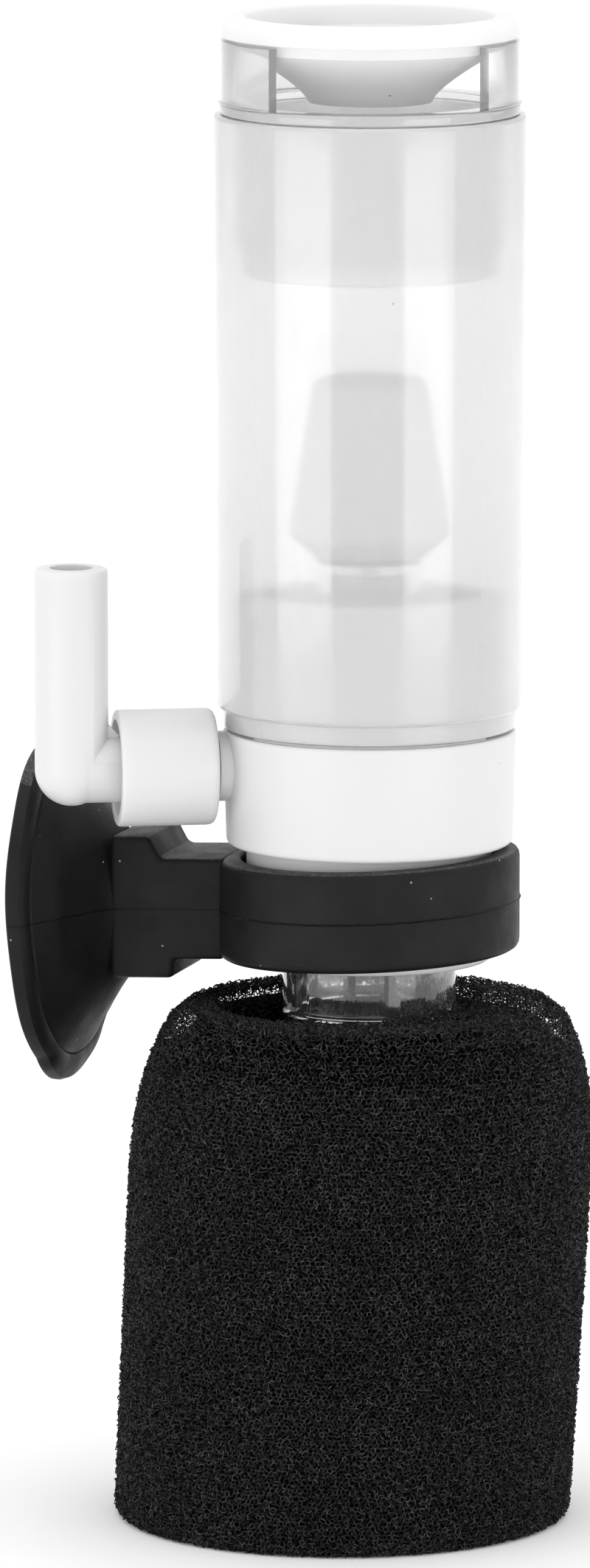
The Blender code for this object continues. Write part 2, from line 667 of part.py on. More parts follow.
def make_suction_clip(look):
    frame = bpy.data.objects.new("clip_axis", None)
    parts.objects.link(frame)
    frame.location = (0, 0, CLIP_Z)
    frame.rotation_euler = (0, CLIP_TILT, 0)
    half = CLIP_HEIGHT / 2
    edge = CLIP_R - CLIP_EDGE
    outline = [(CLIP_BORE_R, half)]
    outline += arc(edge, half - CLIP_EDGE, CLIP_EDGE, 90, 0, 3)
    outline += arc(edge, CLIP_EDGE - half, CLIP_EDGE, 0, -90, 3)
    outline += [(CLIP_BORE_R, -half)]
    clip = turn(part("suction_clip", outline_mesh("suction_clip", outline), look, frame))
    arm = tool("clip_arm", arm_mesh(), frame)
    bevel(arm, ARM_EDGE)
    bell = turn(tool("bell", outline_mesh("bell", bell_outline(), False), frame))
    bell.location = (-BELL_START, 0, 0)
    bell.rotation_euler = (0, BELL_DROOP - math.pi / 2, 0)
    tab_low = (-BELL_R - TAB_LENGTH, -TAB_WIDTH / 2, BELL_DEPTH - TAB_THICKNESS)
    tab_high = (TAB_ROOT - BELL_R, TAB_WIDTH / 2, BELL_DEPTH - TAB_SET_BACK)
    tab = tool("pull_tab", box_mesh("pull_tab", tab_low, tab_high), frame)
    tab.location = bell.location
    tab.rotation_euler = bell.rotation_euler
    join(clip, arm, bell, tab)
    return clip


clear_scene()
parts = collection("sponge_filter")
cutters = collection("cutters")

white = material("white_plastic", WHITE, 0.35)
clear = material("clear_plastic", CLEAR, 0.12, transmission=0.9)
stone = material("air_stone", STONE_GREY, 0.9)
rubber = material("black_rubber", RUBBER_BLACK, 0.55)
foam = material("black_foam", FOAM_BLACK, 0.95)

inlet = inlet_frame()
made = [
    make_sponge(foam),
    make_strainer(clear),
    make_base_cup(white, inlet),
    make_riser(white, inlet),
    make_stone_stem(clear),
    make_air_stone(stone),
    make_clear_tube(clear),
    make_outlet_cage(clear),
    make_deflector_cap(white),
    make_inlet_coupling(white, inlet),
    make_air_elbow(white, inlet),
    make_elbow_ring(rubber, inlet),
    make_suction_clip(rubber),
]
for piece in made:
    smooth(piece)
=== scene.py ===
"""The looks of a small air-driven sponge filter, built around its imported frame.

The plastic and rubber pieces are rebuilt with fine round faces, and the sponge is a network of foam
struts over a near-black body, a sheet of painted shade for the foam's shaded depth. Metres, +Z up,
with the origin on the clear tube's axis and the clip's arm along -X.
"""

import math

import bmesh
import bpy
import numpy as np
from mathutils import Matrix, Vector


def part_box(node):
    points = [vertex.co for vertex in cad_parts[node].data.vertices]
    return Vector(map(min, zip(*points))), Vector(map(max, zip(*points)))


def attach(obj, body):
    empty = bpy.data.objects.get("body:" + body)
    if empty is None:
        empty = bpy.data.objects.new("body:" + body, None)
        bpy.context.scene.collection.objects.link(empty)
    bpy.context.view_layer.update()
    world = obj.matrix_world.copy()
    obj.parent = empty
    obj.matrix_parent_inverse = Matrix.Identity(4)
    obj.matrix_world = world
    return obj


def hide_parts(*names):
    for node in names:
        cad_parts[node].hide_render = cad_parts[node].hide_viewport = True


MM = 0.001
ROUND = 160  # steps round a large turned piece
SMALL_ROUND = 72  # and round a small one

# Camera
VIEW_AZIMUTH = math.radians(16)
VIEW_ELEVATION = math.radians(9)
VIEW_DISTANCE = 1.22
VIEW_HEIGHT = 151.66 * MM  # what the frame's height takes in at the object
VIEW_CENTRE_Z = 71.8 * MM
VIEW_CENTRE_LEFT = 7.2 * MM

# Clear tube and outlet cap
TUBE_WALL = 1.65 * MM
TUBE_TAPER = 0.25 * MM
TUBE_FOOT_INSET = 0.6 * MM
TUBE_FOOT_HEIGHT = 1.7 * MM
TUBE_FOOT_DROP = 0.2 * MM  # leaves only a hairline over the lugs
FLANGE_TOP_RISE = 1.1 * MM  # above the tube's top
FLANGE_INSET = 0.15 * MM
CAGE_WALL = 1.05 * MM
SKIRT_WALL = 1.2 * MM
SKIRT_STEP = 0.6 * MM
SKIRT_STEP_HEIGHT = 2.7 * MM
WINDOW_HALF_ANGLE = math.radians(47)
WINDOW_AZIMUTHS = [math.radians(-69.5), math.radians(80)]
CROWN_HEIGHT = 2.05 * MM
CROWN_EDGE = 1.05 * MM  # rounding of its shoulder, across and down
CROWN_EDGE_HEIGHT = 1.85 * MM
CROWN_RIM = 2.3 * MM  # width of its top rim
FUNNEL_RIM_R = 13.0 * MM
FUNNEL_RIM_DROP = 1.1 * MM
FUNNEL_FOOT_R = 5.95 * MM
FUNNEL_FLARE = 1.38
FUNNEL_WALL = 1.1 * MM

# Base
SPIGOT_R = 11.9 * MM
CUP_BOTTOM_Z = 66.2 * MM
CUP_TAPER = 0.3 * MM
CUP_BORE_R = 12.6 * MM
CUP_EDGE = 0.6 * MM
SOCKET_FLOOR_Z = 68.6 * MM
SPIGOT_BORE_R = 8.7 * MM
BOSS_R = 3.4 * MM
BOSS_END = 14.9 * MM
BOSS_PIN_R = 2.8 * MM
BOSS_PIN_END = 20.0 * MM
AIR_BORE_R = 1.3 * MM
RISER_R = 13.0 * MM
RISER_WALL = 2.3 * MM
RISER_NECK_R = 12.3 * MM
LUG_Z = 77.2 * MM
LUG_HEIGHT = 0.6 * MM
LUG_R = 13.55 * MM
WATER_WAY_R = 10.4 * MM
LUG_HALF_ANGLE = math.radians(55.5)
LUG_AZIMUTHS = [math.radians(-74), math.radians(106)]
NIPPLE_R = 3.7 * MM
NIPPLE_FOOT_Z = 70.9 * MM
SPOKE_R = 2.6 * MM
WEB_THICKNESS = 1.4 * MM

# Air stone and stem
STONE_FOOT_R = 5.25 * MM
STONE_TOP_R = 5.4 * MM
STONE_BELLY_HEIGHT = 1.9 * MM
STEM_COLLAR_HEIGHT = 2.9 * MM
STEM_PIN_R = 2.0 * MM
STEM_BORE_R = 0.9 * MM

# Air inlet, along its own horizontal axis
INLET_Z = 73.9 * MM
INLET_AZIMUTH = math.radians(204)
COUPLING_R = 5.65 * MM
COUPLING_START = 15.2 * MM
COUPLING_END = 24.7 * MM
COUPLING_SEAT = 20.3 * MM
COUPLING_RECESS = 0.9 * MM
LEG_R = 3.3 * MM
PIPE_R = 3.55 * MM
PIPE_BORE_R = 2.1 * MM
LEG_START = 20.7 * MM
ELBOW_CORNER = 29.0 * MM
RING_SEAT = 22.4 * MM
RING_GROOVE = 1.6 * MM
RING_GROOVE_R = 2.3 * MM

# Strainer core
CORE_WALL = 1.2 * MM
SLOT_WIDTH = 2.6 * MM
SLOT_COUNT = 12
SLOT_TURN = math.radians(16)
SLOT_BAND = 2.4 * MM
SLOT_TOP_DROP = 14.0 * MM
SLOT_BOTTOM_RISE = 4.0 * MM
BEAD_RISE = 0.6 * MM  # above the slots
BEAD_HALF_ANGLE = math.radians(28)
BEAD_AZIMUTH = math.radians(-92)

# Rubber clip
CLIP_Z = 60.3 * MM
CLIP_SLOPE = math.tan(math.radians(2.4))  # it rises towards +X
CLIP_R = 14.55 * MM
CLIP_BORE_R = 12.45 * MM
CLIP_HEIGHT = 9.75 * MM
ARM_START = 13.1 * MM
ARM_WIDTH = 10.9 * MM
ARM_HEIGHT = 9.9 * MM
ARM_EDGE = 0.55 * MM
PAD_START = 18.3 * MM  # the arm's taller end, behind the suction cup
PAD_UPPER_START = 19.6 * MM
PAD_SLANT = 1.2 * MM
PAD_END = 24.6 * MM
PAD_TOP = 7.2 * MM
PAD_BOTTOM = 6.8 * MM
BELL_START = 25.7 * MM
BELL_DEPTH = 6.2 * MM
BELL_R = 16.5 * MM
BELL_DROOP = math.radians(-3)
BELL_ROOT = -1.5 * MM  # depth at which the flare starts
BELL_ROOT_R = 7.1 * MM
BELL_ROOT_WIDTH = 0.74  # of its height
BELL_DOME = 1.9 * MM
BELL_LIP = 1.3 * MM
BELL_RIM = 1.7 * MM  # width of its flat lip
FLARE_POWER = 0.85

# Sponge
SPONGE_EDGE = 1.2 * MM
SPONGE_TOP_EDGE = 1.2 * MM
SPONGE_FOOT_R = 22.0 * MM
SPONGE_R = 22.3 * MM
SHOULDER_Z = 32.0 * MM
SHOULDER_DROP = 3.9 * MM
LEAN = 2.65 * MM
LEAN_AZIMUTH = math.radians(196)
MOUTH_R = 11.9 * MM
MOUTH_SHIFT = 3.3 * MM
MOUTH_DEPTH = 11.0 * MM
CELL = 0.45 * MM  # foam cell
SPONGE_SUNK = 0.6 * MM  # how far the dark body, a sheet of painted shade, lies under the skin
RIM_SUNK = 1.5 * MM  # and how much farther where the rim is seen through
RIM_OUTER_DROP = 2.2 * MM  # how far below its top the rim is seen through, outside
RIM_INNER_DROP = 4.5 * MM  # and in the mouth
RIM_FADE = 2 * MM
SIDE_ROWS = 80  # profile rows from the foot up to the rim
SECOND_LAYER = 0.35 * MM  # depth of the second layer of struts
STRUT_REACH = 0.5 * MM
STRUT_R = (0.03 * MM, 0.08 * MM)
STRUT_SHARE = 0.85
LONGEST_STRUT = 1.3 * MM
STRUT_PIECES = 10

# Studio
BOX_DISTANCE = 0.35
BOX_HEIGHT = 0.14
CEILING_Z = 4.0
WORLD_STRENGTH = 0.96
BOX_RADIANCE = 1.3
CEILING_RADIANCE = 0.5


# ---------------------------------------------------------------- camera


def make_camera():
    data = bpy.data.cameras.new("camera")
    camera = bpy.data.objects.new("camera", data)
    bpy.context.scene.collection.objects.link(camera)
    bpy.context.scene.camera = camera
    flat = math.cos(VIEW_ELEVATION)
    back = Vector((math.sin(VIEW_AZIMUTH) * flat, -math.cos(VIEW_AZIMUTH) * flat, math.sin(VIEW_ELEVATION)))
    right = Vector((math.cos(VIEW_AZIMUTH), math.sin(VIEW_AZIMUTH), 0))
    centre = Vector((0, 0, VIEW_CENTRE_Z)) - right * VIEW_CENTRE_LEFT
    camera.location = centre + back * VIEW_DISTANCE
    camera.rotation_euler = back.to_track_quat("Z", "Y").to_euler()
    data.lens = data.sensor_width * VIEW_DISTANCE / VIEW_HEIGHT
    data.clip_start = 0.05


# ---------------------------------------------------------------- mesh helpers


def add_object(name, mesh):
    obj = bpy.data.objects.new(name, mesh)
    bpy.context.scene.collection.objects.link(obj)
    return obj


def mesh_of(name, bm):
    mesh = bpy.data.meshes.new(name)
    bm.to_mesh(mesh)
    bm.free()
    return mesh


def filleted(corners, count=5):
    """An outline from (radius, height, fillet) corners, each rounded by a fillet of that size."""
    outline = []
    for i, (r, z, fillet) in enumerate(corners):
        corner = Vector((r, z))
        if not fillet:
            outline.append(corner)
            continue
        before = (Vector(corners[i - 1][:2]) - corner).normalized() * fillet
        after = (Vector(corners[(i + 1) % len(corners)][:2]) - corner).normalized() * fillet
        for k in range(count):
            t = k / (count - 1)
            outline.append(corner + before * (1 - t) ** 2 + after * t**2)
    return outline


def turned(name, outline, steps=ROUND, closed=True):
    """A solid turned about Z from (radius, height) points."""
    bm = bmesh.new()
    points = [bm.verts.new((r, 0, z)) for r, z in outline]
    edges = [bm.edges.new(pair) for pair in zip(points, points[1:])]
    if closed:
        edges.append(bm.edges.new((points[-1], points[0])))
    bmesh.ops.spin(bm, geom=points + edges, axis=(0, 0, 1), angle=math.tau, steps=steps, use_merge=True)
    bmesh.ops.remove_doubles(bm, verts=bm.verts, dist=1e-6)
    bmesh.ops.recalc_face_normals(bm, faces=bm.faces)
    return add_object(name, mesh_of(name, bm))


def rod(name, radius, start, end, steps=SMALL_ROUND, edge=0.0):
    """A solid cylinder on the Z axis, with rounded ends."""
    return turned(name, filleted([(0, end, 0), (radius, end, edge), (radius, start, edge), (0, start, 0)]),
                  steps, closed=False)


def block(name, low, high, turns=(0.0,)):
    """A box between two corners, and its copies turned about Z by each of the angles."""
    low, high = Vector(low), Vector(high)
    size = Matrix.Diagonal((*(high - low), 1))
    bm = bmesh.new()
    for angle in turns:
        place = Matrix.Rotation(angle, 4, "Z") @ Matrix.Translation((low + high) / 2) @ size
        bmesh.ops.create_cube(bm, size=1, matrix=place)
    return add_object(name, mesh_of(name, bm))


def wedges(name, half_angle, reach, low_z, high_z, azimuths):
    """Wedges that open outwards from near the axis, one at each azimuth."""
    bm = bmesh.new()
    start = 1.5 * MM
    for azimuth in azimuths:
        size = Matrix.Diagonal((reach - start, 1, high_z - low_z, 1))
        place = Matrix.Translation(((reach + start) / 2, 0, (low_z + high_z) / 2))
        corners = bmesh.ops.create_cube(bm, size=1, matrix=place @ size)["verts"]
        for corner in corners:
            corner.co.y = math.copysign(corner.co.x * math.tan(half_angle), corner.co.y)
        bmesh.ops.rotate(bm, verts=corners, matrix=Matrix.Rotation(azimuth, 3, "Z"))
    return add_object(name, mesh_of(name, bm))


def applied(obj):
    """Applies the object's modifiers."""
    depsgraph = bpy.context.evaluated_depsgraph_get()
    mesh = bpy.data.meshes.new_from_object(obj.evaluated_get(depsgraph))
    obj.modifiers.clear()
    obj.data = mesh
    return obj


def combined(obj, operation, *others):
    """Joins shapes to a piece, cuts them from it, or keeps what they share. The shapes are used up."""
    for other in others:
        modifier = obj.modifiers.new(other.name, "BOOLEAN")
        modifier.operation = operation
        modifier.object = other
    applied(obj)
    for other in others:
        bpy.data.objects.remove(other)
    return obj


def rounded(obj, width, segments=3, angle=40):
    """Rounds the sharp edges."""
    modifier = obj.modifiers.new("Rounded", "BEVEL")
    modifier.width = width
    modifier.segments = segments
    modifier.limit_method = "ANGLE"
    modifier.angle_limit = math.radians(angle)
    modifier.use_clamp_overlap = True
    return applied(obj)


def placed(obj, matrix):
    obj.data.transform(matrix)
    return obj


def finished(obj, material, body, slot, *nodes, angle=35):
    """Shades a piece, gives it its material and ties it to the frame."""
    obj.data.shade_smooth()
    obj.data.set_sharp_from_angle(angle=math.radians(angle))
    obj.data.materials.clear()
    obj.data.materials.append(material)
    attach(obj, body)
    if nodes:
        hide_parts(*nodes)
    return obj


# ---------------------------------------------------------------- materials


def node(tree, kind, inputs=(), **settings):
    """A shader node. Inputs are (socket, value or another node's output)."""
    made = tree.nodes.new(kind)
    for name, value in settings.items():
        setattr(made, name, value)
    for socket, value in inputs:
        if isinstance(value, bpy.types.NodeSocket):
            tree.links.new(value, made.inputs[socket])
        else:
            made.inputs[socket].default_value = value
    return made


def new_material(name, values):
    """A material, its node tree and its shader with the given socket values."""
    material = bpy.data.materials.new(name)
    material.use_nodes = True
    tree = material.node_tree
    shader = tree.nodes["Principled BSDF"]
    for socket, value in values.items():
        shader.inputs[socket].default_value = value
    return material, tree, shader


def place(tree):
    """Where a point lies on its piece."""
    return node(tree, "ShaderNodeTexCoord").outputs["Object"]


def noise(tree, size, detail=2.0):
    """Noise with features of about that size in metres, from 0 to 1."""
    inputs = [("Vector", place(tree)), ("Scale", 1 / size), ("Detail", detail)]
    return node(tree, "ShaderNodeTexNoise", inputs).outputs["Fac"]


def between(tree, factor, low, high):
    """A number between low and high, as the factor goes from 0.3 to 0.7."""
    inputs = [("Value", factor), ("From Min", 0.3), ("From Max", 0.7), ("To Min", low), ("To Max", high)]
    return node(tree, "ShaderNodeMapRange", inputs).outputs["Result"]


def mixed(tree, factor, first, second):
    """A colour between two."""
    made = node(tree, "ShaderNodeMix", data_type="RGBA")
    for socket, value in ((0, factor), (6, first), (7, second)):
        if isinstance(value, bpy.types.NodeSocket):
            tree.links.new(value, made.inputs[socket])
        else:
            made.inputs[socket].default_value = value
    return made.outputs[2]


def math_node(tree, operation, *values):
    return node(tree, "ShaderNodeMath", list(enumerate(values)), operation=operation).outputs[0]


def specks(tree, spacing, radius, share):
    """1 on small specks: one for each cell of that spacing, on that share of the cells."""
    cells = node(tree, "ShaderNodeTexVoronoi", [("Vector", place(tree)), ("Scale", 1 / spacing)])
    near = math_node(tree, "LESS_THAN", cells.outputs["Distance"], radius / spacing)
    red = node(tree, "ShaderNodeSeparateColor", [("Color", cells.outputs["Color"])]).outputs["Red"]
    chosen = math_node(tree, "LESS_THAN", red, share)
    return math_node(tree, "MULTIPLY", near, chosen)


def bump(tree, shader, height, distance, strength=1.0):
    inputs = [("Height", height), ("Distance", distance), ("Strength", strength)]
    made = node(tree, "ShaderNodeBump", inputs)
    tree.links.new(made.outputs["Normal"], shader.inputs["Normal"])


def grey(value, alpha=1.0):
    return (value, value, value, alpha)


def white_plastic(name, value, depth=1.5 * MM):
    """White plastic that light enters to about that depth."""
    material, tree, shader = new_material(name, {"IOR": 1.5, "Specular IOR Level": 0.45,
                                                 "Subsurface Weight": 0.4, "Subsurface Radius": (1, 1, 1),
                                                 "Subsurface Scale": depth})
    colour = mixed(tree, noise(tree, 9 * MM), grey(value), (value + 0.006, value + 0.006, value + 0.004, 1))
    colour = mixed(tree, specks(tree, 3.2 * MM, 0.14 * MM, 0.35), colour, (0.34, 0.33, 0.32, 1))
    tree.links.new(colour, shader.inputs["Base Color"])
    tree.links.new(between(tree, noise(tree, 6 * MM), 0.3, 0.34), shader.inputs["Roughness"])
    bump(tree, shader, noise(tree, 0.5 * MM, 2), 0.01 * MM, 0.15)
    return material


def milky_plastic(name, value, transmission, roughness):
    values = {"IOR": 1.46, "Transmission Weight": transmission, "Coat Weight": 1.0, "Coat Roughness": 0.05}
    material, tree, shader = new_material(name, values)
    colour = mixed(tree, noise(tree, 12 * MM), grey(value - 0.02), grey(min(value + 0.02, 1)))
    colour = mixed(tree, specks(tree, 3.0 * MM, 0.14 * MM, 0.1), colour, grey(0.6))
    tree.links.new(colour, shader.inputs["Base Color"])
    low, high = roughness
    tree.links.new(between(tree, noise(tree, 2.5 * MM), low, high), shader.inputs["Roughness"])
    bump(tree, shader, noise(tree, 0.8 * MM, 3), 0.01 * MM, 0.1)
    return material


def stone_material():
    material, tree, shader = new_material("porous_stone", {"Specular IOR Level": 0.2, "Roughness": 0.9})
    grains = node(tree, "ShaderNodeTexVoronoi", [("Vector", place(tree)), ("Scale", 1 / (0.35 * MM))])
    colour = mixed(tree, grains.outputs["Distance"], grey(0.6), grey(0.8))
    colour = mixed(tree, noise(tree, 2 * MM, 4), colour, grey(0.74))
    tree.links.new(colour, shader.inputs["Base Color"])
    bump(tree, shader, grains.outputs["Distance"], 0.12 * MM)
    return material


def rubber_material():
    material, tree, shader = new_material("black_rubber", {"Specular IOR Level": 0.17})
    colour = mixed(tree, noise(tree, 4 * MM, 4), grey(0.004), grey(0.012))
    waver = between(tree, noise(tree, 0.9 * MM), -0.09 * MM, 0.09 * MM)
    seam = math_node(tree, "ADD", clip_height(tree), waver)
    seam_groove_and_shade = math_node(tree, "LESS_THAN", math_node(tree, "ABSOLUTE", seam), 0.07 * MM)
    # painted shade: the parting seam is coloured near-black for the shadow in its groove, which the bump
    # below also dents
    colour = mixed(tree, seam_groove_and_shade, colour, grey(0.001))
    upwards = node(tree, "ShaderNodeSeparateXYZ",
                   [("Vector", node(tree, "ShaderNodeNewGeometry").outputs["Normal"])]).outputs["Z"]
    grains = between(tree, noise(tree, 0.3 * MM, 4), 0.0, 1.0)
    dust = math_node(tree, "MULTIPLY", math_node(tree, "GREATER_THAN", upwards, 0.8), grains)
    colour = mixed(tree, dust, colour, grey(0.09))
    colour = mixed(tree, specks(tree, 1.5 * MM, 0.09 * MM, 0.35), colour, grey(0.35))
    tree.links.new(colour, shader.inputs["Base Color"])
    tree.links.new(between(tree, noise(tree, 3 * MM, 3), 0.42, 0.6), shader.inputs["Roughness"])
    height = math_node(tree, "SUBTRACT", noise(tree, 0.25 * MM, 3), seam_groove_and_shade)
    bump(tree, shader, height, 0.05 * MM, 0.6)
    return material


def clip_height(tree):
    """How far a point of the clip lies above its mould's parting plane."""
    axes = node(tree, "ShaderNodeSeparateXYZ", [("Vector", place(tree))])
    level = math_node(tree, "MULTIPLY_ADD", axes.outputs["X"], CLIP_SLOPE, CLIP_Z)
    return math_node(tree, "SUBTRACT", axes.outputs["Z"], level)


def foam_material(name, dark, light, gloss):
    material, tree, shader = new_material(name, {"Specular IOR Level": gloss})
    cells = node(tree, "ShaderNodeTexVoronoi", [("Vector", place(tree)), ("Scale", 1 / CELL)],
                 feature="DISTANCE_TO_EDGE")
    edge = between(tree, cells.outputs["Distance"], 1.0, 0.0)
    grit = between(tree, noise(tree, 0.45 * MM, 1), -0.4, 1.2)
    colour = mixed(tree, math_node(tree, "MULTIPLY", edge, grit), grey(dark), grey(light))
    colour = mixed(tree, between(tree, noise(tree, 6 * MM), 0.0, 0.4), colour, grey(dark))
    tree.links.new(colour, shader.inputs["Base Color"])
    tree.links.new(between(tree, noise(tree, 1 * MM), 0.55, 0.8), shader.inputs["Roughness"])
    bump(tree, shader, edge, 0.15 * MM)
    return material


# ---------------------------------------------------------------- tube and outlet cap


def make_clear_tube(material):
    low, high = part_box("clear_tube")
    radius = high.x - TUBE_TAPER
    bore = high.x - TUBE_WALL
    foot = radius - TUBE_FOOT_INSET
    step_z = low.z + TUBE_FOOT_HEIGHT
    tube = turned("lift_tube", filleted([
        (bore, high.z, 0.3 * MM),
        (high.x, high.z, 0.45 * MM),
        (radius, step_z, 0.5 * MM),
        (foot, step_z, 0.15 * MM),
        (foot, low.z - TUBE_FOOT_DROP, 0.35 * MM),
        (bore, low.z - TUBE_FOOT_DROP, 0.2 * MM),
    ]))
    return finished(tube, material, "tube", "frosted_clear", "clear_tube")


def make_outlet_cage(material):
    low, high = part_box("outlet_cage")
    flange_r = high.x
    cage_r = flange_r - FLANGE_INSET
    tube_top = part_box("clear_tube")[1].z
    flange_low = tube_top + 0.04 * MM
    flange_top = tube_top + FLANGE_TOP_RISE
    skirt_r = flange_r - 1.4 * MM
    skirt_bore = skirt_r - SKIRT_WALL
    step_z = low.z + SKIRT_STEP_HEIGHT
    cage = turned("outlet_collar", filleted([
        (cage_r - CAGE_WALL, high.z, 0.1 * MM),
        (cage_r, high.z, 0.1 * MM),
        (cage_r, flange_top, 0.25 * MM),
        (flange_r, flange_top, 0.2 * MM),
        (flange_r, flange_low, 0.2 * MM),
        (skirt_r, flange_low, 0),
        (skirt_r, step_z, 0.15 * MM),
        (skirt_r - SKIRT_STEP, step_z, 0.1 * MM),
        (skirt_r - SKIRT_STEP, low.z, 0.15 * MM),
        (skirt_bore, low.z, 0.1 * MM),
        (skirt_bore, flange_top, 0.2 * MM),
        (cage_r - CAGE_WALL, flange_top, 0),
    ], 4))
    windows = wedges("windows", WINDOW_HALF_ANGLE, 2 * cage_r, flange_top, high.z + MM, WINDOW_AZIMUTHS)
    combined(cage, "DIFFERENCE", windows)
    return finished(cage, material, "outlet", "frosted_clear", "outlet_cage")


def make_deflector_cap(material):
    low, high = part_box("deflector_cap")
    crown_low = high.z - CROWN_HEIGHT
    rim_z = crown_low - FUNNEL_RIM_DROP
    steps = 18
    side = []
    for i in range(steps + 1):
        t = i / steps
        radius = FUNNEL_FOOT_R + (FUNNEL_RIM_R - FUNNEL_FOOT_R) * (1 - t) ** FUNNEL_FLARE
        side.append(Vector((radius, rim_z + (low.z - rim_z) * t)))
    bowl = [point + Vector((-FUNNEL_WALL, FUNNEL_WALL)) for point in reversed(side)]
    outline = [Vector((0, bowl[0].y))] + bowl
    inner = high.x - CROWN_RIM
    outline += filleted([(inner - 0.4 * MM, high.z - 1.2 * MM, 0), (inner, high.z, 0.35 * MM),
                         (high.x - CROWN_EDGE, high.z, 0)])[1:-1]
    for i in range(10):
        a = math.radians(90 - 10 * i)
        outline.append(Vector((high.x - CROWN_EDGE * (1 - math.cos(a)),
                               high.z - CROWN_EDGE_HEIGHT * (1 - math.sin(a)))))
    outline += filleted([outline[-1][:] + (0,), (high.x, crown_low, 0.15 * MM),
                         (FUNNEL_RIM_R, crown_low, 0)])[1:]
    outline += side + [Vector((0, low.z))]
    cap = turned("deflector_crown", outline, closed=False)
    return finished(cap, material, "outlet", "white_plastic", "deflector_cap", angle=50)


# ---------------------------------------------------------------- base, stone and inlet


def inlet_place():
    """The inlet's own frame: Z out along its axis, X up."""
    out = Vector((math.cos(INLET_AZIMUTH), math.sin(INLET_AZIMUTH), 0))
    up = Vector((0, 0, 1))
    return Matrix.Translation((0, 0, INLET_Z)) @ Matrix((up, out.cross(up), out)).transposed().to_4x4()


def make_base_cup(material):
    low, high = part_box("base_cup")
    top_r = high.x
    base_r = top_r - CUP_TAPER
    lip_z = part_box("strainer_core")[1].z + 0.6 * MM
    cup = turned("base_shell", filleted([
        (CUP_BORE_R, high.z, 0.3 * MM),
        (top_r, high.z, 0.35 * MM),
        (base_r, CUP_BOTTOM_Z, CUP_EDGE),
        (SPIGOT_R, CUP_BOTTOM_Z, 0.3 * MM),
        (SPIGOT_R, low.z, 0.5 * MM),
        (SPIGOT_BORE_R, low.z, 0.2 * MM),
        (SPIGOT_BORE_R, lip_z, 0),
        (WATER_WAY_R, lip_z + MM, 0),
        (WATER_WAY_R, SOCKET_FLOOR_Z, 0),
        (CUP_BORE_R, SOCKET_FLOOR_Z, 0),
    ]))
    start = RISER_NECK_R + MM
    boss = placed(rod("boss", BOSS_R, start, BOSS_END), inlet_place())
    pin = placed(rod("boss_pin", BOSS_PIN_R, start, BOSS_PIN_END, edge=0.3 * MM), inlet_place())
    combined(cup, "UNION", boss, pin)
    bore = placed(rod("boss_bore", AIR_BORE_R, start - 2 * MM, BOSS_PIN_END + MM, 40), inlet_place())
    combined(cup, "DIFFERENCE", bore)
    return finished(cup, material, "base", "white_plastic", "base_cup")


def make_riser(material):
    low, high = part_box("riser")
    cup_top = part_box("base_cup")[1].z + 0.3 * MM
    wall_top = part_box("stone_stem")[0].z - 0.3 * MM
    bore = RISER_R - RISER_WALL
    riser = turned("riser_sleeve", filleted([
        (bore, wall_top, 0.2 * MM),
        (RISER_R, wall_top, 0.3 * MM),
        (RISER_R, cup_top, 0),
        (RISER_NECK_R, cup_top, 0),
        (RISER_NECK_R, low.z, 0),
        (bore, low.z, 0),
    ]))
    lugs = turned("lugs", filleted([
        (bore + MM, LUG_Z + LUG_HEIGHT / 2, 0),
        (LUG_R, LUG_Z + LUG_HEIGHT / 2, 0.15 * MM),
        (LUG_R, LUG_Z - LUG_HEIGHT / 2, 0.15 * MM),
        (bore + MM, LUG_Z - LUG_HEIGHT / 2, 0),
    ]))
    combined(lugs, "INTERSECT", wedges("lug_sectors", LUG_HALF_ANGLE, 2 * RISER_R, LUG_Z - MM, LUG_Z + MM,
                                       LUG_AZIMUTHS))
    nipple = rod("nipple", NIPPLE_R, NIPPLE_FOOT_Z, high.z, edge=0.4 * MM)
    reach = bore + 0.5 * MM
    spoke = placed(rod("spoke", SPOKE_R, 0, reach, 48), inlet_place())
    third = math.tau / 3
    webs = block("webs", (NIPPLE_R - MM, -WEB_THICKNESS / 2, NIPPLE_FOOT_Z + 0.3 * MM),
                 (reach, WEB_THICKNESS / 2, cup_top - 0.6 * MM),
                 [INLET_AZIMUTH + third, INLET_AZIMUTH - third])
    combined(riser, "UNION", lugs, nipple, spoke, webs)
    rise = rod("nipple_bore", AIR_BORE_R, INLET_Z, high.z + MM, 40)
    inwards = placed(rod("spoke_bore", AIR_BORE_R, -0.4 * MM, RISER_R + MM, 40), inlet_place())
    combined(riser, "DIFFERENCE", rise, inwards)
    return finished(riser, material, "base", "white_plastic", "riser")


def make_stone_stem(material):
    low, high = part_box("stone_stem")
    pocket_r = NIPPLE_R + 0.3 * MM
    pocket_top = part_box("riser")[1].z + 0.3 * MM
    collar_top = low.z + STEM_COLLAR_HEIGHT
    stem = turned("stone_holder", filleted([
        (STEM_BORE_R, high.z, 0),
        (STEM_PIN_R, high.z, 0.3 * MM),
        (STEM_PIN_R, collar_top, 0),
        (high.x, collar_top, 0.3 * MM),
        (high.x, low.z, 0.3 * MM),
        (pocket_r, low.z, 0.2 * MM),
        (pocket_r, pocket_top, 0),
        (STEM_BORE_R, pocket_top, 0),
    ]), SMALL_ROUND)
    return finished(stem, material, "stone", "clear_plastic", "stone_stem")


